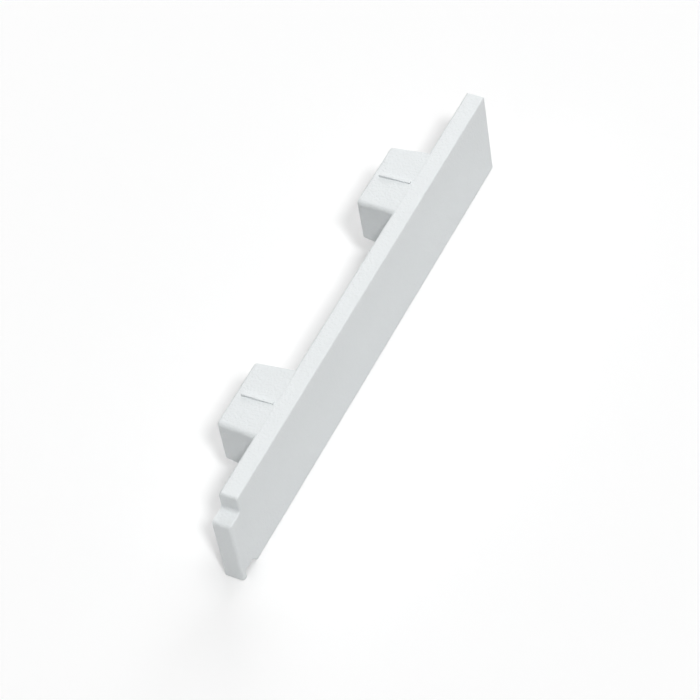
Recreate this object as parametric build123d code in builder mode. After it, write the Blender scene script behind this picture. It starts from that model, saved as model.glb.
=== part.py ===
from build123d import *
import os
from math import radians, tan

os.makedirs("parts", exist_ok=True)

# One-piece moulded end cap for a slim profile, standing on its long edge.
# X runs along the plate, Y points from the seating face into the profile, Z is up.
# The origin is the middle of the seating face, which lies in the plane Y = 0.

# plate that covers the profile's cut end
plate_length = 60.0
plate_height = 11.3
plate_thickness = 2.1
front_edge_radius = 0.2
back_edge_radius = 0.3
far_corner_radius = 0.3

# stepped lip at the top of the near end
lip_length = 2.1
lip_drop = 2.15
lip_root_radius = 0.4
lip_crest_radius = 0.3
near_edge_radius = 0.4

# notch in the bottom edge, which leaves a foot at the near end
foot_width = 0.7
notch_depth = 1.0
notch_roof_length = 1.5
notch_slope_run = 0.7
notch_corner_radius = 0.2

# plugs that push into the profile's two chambers
plug_pitch = 31.75
plug_shift = 0.1
plug_length = 9.35
plug_height = 6.75
plug_reach = 4.5
plug_root_depth = 0.5
plug_draft = 4.5
plug_side_radius = 0.5
plug_tip_radius = 0.3

# pocket that cores each plug from its tip down to the plate
core_wall = 1.1
core_draft = 1.0
core_corner_radius = 0.4

# crush rib along the top of each plug, which stops short of the tip
rib_width = 0.3
rib_rise = 0.1
rib_reach = 3.7
rib_draft = 1.0
rib_shift = -0.2

# levels and stations that the sizes above give
near_x = -plate_length / 2
far_x = plate_length / 2
bottom_z = -plate_height / 2
top_z = plate_height / 2
lip_x = near_x + lip_length
lip_z = top_z - lip_drop
notch_x = near_x + foot_width
roof_x = notch_x + notch_roof_length
roof_z = bottom_z + notch_depth
slope_x = roof_x + notch_slope_run
plug_z = top_z - plug_height / 2
plug_depth = plug_reach + plug_root_depth
plug_tip_inset = plug_depth * tan(radians(plug_draft))
core_height = plug_height - 2 * (plug_tip_inset + core_wall)
core_length = plug_length - 2 * (plug_tip_inset + core_wall)
rib_root_z = plug_height / 2 + rib_rise
rib_end_z = rib_root_z - rib_reach * tan(radians(rib_draft))
near_plug_x = plug_shift - plug_pitch / 2
far_plug_x = plug_shift + plug_pitch / 2

# One plug about its own centre line, drafted on all four sides towards the tip.
# Its root runs into the plate, so that its top leaves the plate's top without a groove.
with BuildPart() as plug:
    with BuildSketch(Plane.ZX.offset(-plug_root_depth)):
        Rectangle(plug_height, plug_length)
    extrude(amount=plug_depth, taper=plug_draft)
    root = plug.faces().sort_by(Axis.Y)[0]
    tip = plug.faces().sort_by(Axis.Y)[-1]
    corners = plug.edges() - root.edges() - tip.edges()
    fillet(corners, plug_side_radius)
    fillet(plug.faces().sort_by(Axis.Y)[-1].edges(), plug_tip_radius)
    # The rib starts just above the plate's top and falls less than the drafted face under it.
    with BuildSketch(Plane.YZ.offset(rib_shift)):
        with BuildLine():
            Polyline((0, 0), (rib_reach, 0), (rib_reach, rib_end_z), (0, rib_root_z), close=True)
        make_face()
    extrude(amount=rib_width / 2, both=True)
    with BuildSketch(Plane.XZ.offset(-plug_reach)):
        RectangleRounded(core_length, core_height, core_corner_radius)
    extrude(amount=plug_reach, taper=core_draft, mode=Mode.SUBTRACT)

# The plate, with the lip's step and the foot's notch in its outline, and both plugs.
with BuildPart() as cap:
    with BuildSketch(Plane.XZ) as outline:
        with BuildLine():
            Polyline((near_x, bottom_z), (near_x, lip_z), (lip_x, lip_z), (lip_x, top_z),
                (far_x, top_z), (far_x, bottom_z), (slope_x, bottom_z), (roof_x, roof_z),
                (notch_x, roof_z), (notch_x, bottom_z), close=True)
        make_face()
        lip_root = outline.vertices().sort_by_distance((lip_x, lip_z))[0]
        fillet(lip_root, lip_root_radius)
        lip_crest = outline.vertices().sort_by_distance((lip_x, top_z))[0]
        fillet(lip_crest, lip_crest_radius)
        far_corner = outline.vertices().sort_by_distance((far_x, top_z))[0]
        fillet(far_corner, far_corner_radius)
        notch_corners = outline.vertices().filter_by_position(Axis.X, notch_x, roof_x)
        fillet(notch_corners.filter_by_position(Axis.Y, roof_z, roof_z), notch_corner_radius)
    extrude(amount=plate_thickness)
    # The near end's front edge and the lip's end are the softest. The other front edges follow.
    near_edge = cap.faces().sort_by(Axis.Y)[0].edges().filter_by(Axis.Z).sort_by(Axis.X)[0]
    lip_end = cap.edges().filter_by(Axis.Y).sort_by_distance((near_x, -plate_thickness / 2, lip_z))[0]
    fillet([near_edge, lip_end], near_edge_radius)
    front_edges = cap.faces().sort_by(Axis.Y)[0].edges()
    fillet(front_edges - front_edges.filter_by(Axis.Z).sort_by(Axis.X)[:1], front_edge_radius)
    # The long top edge behind is rounded off. The bottom edge stays sharp, as the cap stands on it.
    with BuildSketch(Plane.YZ):
        with Locations((-back_edge_radius, top_z - back_edge_radius)):
            Rectangle(back_edge_radius, back_edge_radius, align=(Align.MIN, Align.MIN))
            Circle(back_edge_radius, mode=Mode.SUBTRACT)
    extrude(amount=plate_length, both=True, mode=Mode.SUBTRACT)
    with Locations((near_plug_x, 0, plug_z), (far_plug_x, 0, plug_z)):
        add(plug.part)
cap.part.label = "end_cap"

export_step(cap.part, "parts/end_cap.step")
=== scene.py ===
import bpy
from math import cos, radians, sin
from mathutils import Matrix, Vector


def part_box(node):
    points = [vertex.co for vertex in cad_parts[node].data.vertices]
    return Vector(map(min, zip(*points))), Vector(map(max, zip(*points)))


# White moulded end cap, shown standing on its long edge on a pale studio floor.
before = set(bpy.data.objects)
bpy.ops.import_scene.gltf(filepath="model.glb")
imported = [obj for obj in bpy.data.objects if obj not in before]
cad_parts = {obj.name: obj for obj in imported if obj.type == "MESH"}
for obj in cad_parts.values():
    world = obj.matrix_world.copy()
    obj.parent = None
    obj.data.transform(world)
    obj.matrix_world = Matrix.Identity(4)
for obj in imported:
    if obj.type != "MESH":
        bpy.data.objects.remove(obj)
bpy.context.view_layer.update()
mm = 0.001

capLow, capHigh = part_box("end_cap")
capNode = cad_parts["end_cap"]
print("frame loaded, cap", [round((high - low) / mm, 2) for low, high in zip(capLow, capHigh)], "mm")


def setLinks(tree, links):  # each link is (from node, from socket, to node, to socket)
    for fromNode, fromSocket, toNode, toSocket in links:
        tree.links.new(fromNode.outputs[fromSocket], toNode.inputs[toSocket])


# The cap keeps its CAD mesh and gets the plastic of a moulded trim part.
plasticFinish = {
    "colour": (0.86, 0.89, 0.9, 1.0),
    "colourLow": (0.83, 0.86, 0.868, 1.0),
    "roughnessLow": 0.47,
    "roughnessHigh": 0.57,
    "specular": 0.4,
    "cloudScale": 90.0,  # slow mottling of the pigment and the sheen
    "cloudDetail": 3.0,
    "grainScale": 3800.0,  # fine texture left by a spark-eroded mould
    "grainDetail": 2.0,
    "grainDepth": 0.07 * mm,
    "waveScale": 260.0,  # gentle unevenness of a thin moulding
    "waveDetail": 1.0,
    "waveDepth": 0.05 * mm,
}


def addNoise(tree, scale, detail):
    noise = tree.nodes.new("ShaderNodeTexNoise")
    noise.inputs["Scale"].default_value = scale
    noise.inputs["Detail"].default_value = detail
    return noise


def addBump(tree, depth):
    bump = tree.nodes.new("ShaderNodeBump")
    bump.inputs["Distance"].default_value = depth
    return bump


def makePlastic(finish):
    material = bpy.data.materials.new("whiteMouldedPlastic")
    material.use_nodes = True
    tree = material.node_tree
    shader = tree.nodes["Principled BSDF"]
    shader.inputs["Specular IOR Level"].default_value = finish["specular"]
    place = tree.nodes.new("ShaderNodeTexCoord")
    cloud = addNoise(tree, finish["cloudScale"], finish["cloudDetail"])
    grain = addNoise(tree, finish["grainScale"], finish["grainDetail"])
    wave = addNoise(tree, finish["waveScale"], finish["waveDetail"])
    grainBump = addBump(tree, finish["grainDepth"])
    waveBump = addBump(tree, finish["waveDepth"])

    tint = tree.nodes.new("ShaderNodeMix")
    tint.data_type = "RGBA"
    tint.inputs["A"].default_value = finish["colourLow"]
    tint.inputs["B"].default_value = finish["colour"]
    sheen = tree.nodes.new("ShaderNodeMapRange")
    sheen.inputs["To Min"].default_value = finish["roughnessLow"]
    sheen.inputs["To Max"].default_value = finish["roughnessHigh"]

    setLinks(tree, [
        (place, "Object", cloud, "Vector"),
        (place, "Object", grain, "Vector"),
        (place, "Object", wave, "Vector"),
        (cloud, "Fac", tint, "Factor"),
        (tint, "Result", shader, "Base Color"),
        (cloud, "Fac", sheen, "Value"),
        (sheen, "Result", shader, "Roughness"),
        (wave, "Fac", waveBump, "Height"),
        (waveBump, "Normal", grainBump, "Normal"),
        (grain, "Fac", grainBump, "Height"),
        (grainBump, "Normal", shader, "Normal"),
    ])
    return material


plastic = makePlastic(plasticFinish)
for materialSlot in capNode.material_slots:
    materialSlot.material = plastic
print("plastic on the cap")

# The floor is matt and touches the cap's lowest edge.
floorLook = {
    "width": 1.2,
    "colour": (0.91, 0.91, 0.91, 1.0),
    "roughness": 1.0,
    "specular": 0.0,
    "liftColour": (1.0, 1.0, 1.0, 1.0),
    "lift": 0.12,  # turns the lit floor white, but only where it is seen
}


def addSeenMask(tree):  # 1 for what is seen straight, mirrored or through something clear, else 0
    rays = tree.nodes.new("ShaderNodeLightPath")
    mirrored = tree.nodes.new("ShaderNodeMath")
    mirrored.operation = "MAXIMUM"
    seen = tree.nodes.new("ShaderNodeMath")
    seen.operation = "MAXIMUM"
    setLinks(tree, [
        (rays, "Is Camera Ray", mirrored, 0),
        (rays, "Is Glossy Ray", mirrored, 1),
        (mirrored, "Value", seen, 0),
        (rays, "Is Transmission Ray", seen, 1),
    ])
    return seen


def makeFloor(look):
    bpy.ops.object.select_all(action="DESELECT")
    bpy.ops.mesh.primitive_plane_add(size=look["width"], location=(0, 0, capLow[2]))
    floor = bpy.context.object
    floor.name = "studioFloor"
    material = bpy.data.materials.new("paleFloor")
    material.use_nodes = True
    tree = material.node_tree
    shader = tree.nodes["Principled BSDF"]
    shader.inputs["Base Color"].default_value = look["colour"]
    shader.inputs["Roughness"].default_value = look["roughness"]
    shader.inputs["Specular IOR Level"].default_value = look["specular"]
    shader.inputs["Emission Color"].default_value = look["liftColour"]
    lift = tree.nodes.new("ShaderNodeMath")
    lift.operation = "MULTIPLY"
    lift.inputs[1].default_value = look["lift"]
    setLinks(tree, [
        (addSeenMask(tree), "Value", lift, 0),
        (lift, "Value", shader, "Emission Strength"),
    ])
    floor.data.materials.append(material)


makeFloor(floorLook)
print("floor laid")

# A soft sun over the camera's right shoulder and four wide discs light the cap.
# The world is white, but only where it is seen.
worldLook = {"colour": (1.0, 1.0, 1.0, 1.0)}
keyLight = {"azimuth": 218.0, "height": 53.0, "distance": 1.0, "spread": 8.0, "strength": 1.26}
panels = {
    "topPanel": {"azimuth": 145.0, "height": 84.0, "distance": 2.4, "size": 1.6, "strength": 24.8},
    "farPanel": {"azimuth": 80.0, "height": 31.0, "distance": 2.4, "size": 1.6, "strength": 17.8},
    "frontPanel": {"azimuth": 150.0, "height": 30.0, "distance": 2.4, "size": 1.6, "strength": 2.2},
    "backPanel": {"azimuth": 340.0, "height": 60.0, "distance": 2.4, "size": 1.6, "strength": 5.0},
}


def aimFrom(azimuth, height, distance):  # azimuth is measured from +Y towards +X
    flat = cos(radians(height)) * distance
    x, y = sin(radians(azimuth)) * flat, cos(radians(azimuth)) * flat
    return Vector((x, y, sin(radians(height)) * distance))


def makeWorld(look):
    world = bpy.data.worlds.new("studioWorld")
    bpy.context.scene.world = world
    world.use_nodes = True
    tree = world.node_tree
    surface = tree.nodes["Background"]
    surface.inputs["Color"].default_value = look["colour"]
    setLinks(tree, [(addSeenMask(tree), "Value", surface, "Strength")])


# Every lamp faces the origin. Strength is in W/m2 for the sun and in W for the discs.
def addLamp(kind, name, lamp):
    bpy.ops.object.select_all(action="DESELECT")
    place = aimFrom(lamp["azimuth"], lamp["height"], lamp["distance"])
    bpy.ops.object.light_add(type=kind, location=place)
    light = bpy.context.object
    light.name = name
    light.data.energy = lamp["strength"]
    light.rotation_euler = place.to_track_quat("Z", "Y").to_euler()
    return light


def makeKey(name, lamp):
    light = addLamp("SUN", name, lamp)
    light.data.angle = radians(lamp["spread"])


def makePanel(name, lamp):
    light = addLamp("AREA", name, lamp)
    light.data.shape = "DISK"
    light.data.size = lamp["size"]


makeWorld(worldLook)
makeKey("keyLight", keyLight)
for panelName, panel in panels.items():
    makePanel(panelName, panel)
print("lights set")

# The camera looks down on the cap from the front and the near end.
cameraView = {
    "aim": (-3.163 * mm, -1.423 * mm, 0.0),
    "distance": 296.66 * mm,
    "azimuth": 55.049,  # heading of the view, from +Y towards +X
    "fall": 50.006,  # how far the view points below level
    "roll": -11.059,
    "lens": 147.085,
    "nearLimit": 10 * mm,
}


def makeCamera(view):
    bpy.ops.object.select_all(action="DESELECT")
    back = -aimFrom(view["azimuth"], -view["fall"], view["distance"])
    bpy.ops.object.camera_add(location=Vector(view["aim"]) + back)
    camera = bpy.context.object
    camera.name = "studioCamera"
    level = back.to_track_quat("Z", "Y").to_matrix().to_4x4()
    camera.rotation_euler = (level @ Matrix.Rotation(radians(view["roll"]), 4, "Z")).to_euler()
    camera.data.lens = view["lens"]
    camera.data.clip_start = view["nearLimit"]
    bpy.context.scene.camera = camera


makeCamera(cameraView)
bpy.context.scene.view_settings.view_transform = "Standard"
print("camera placed")
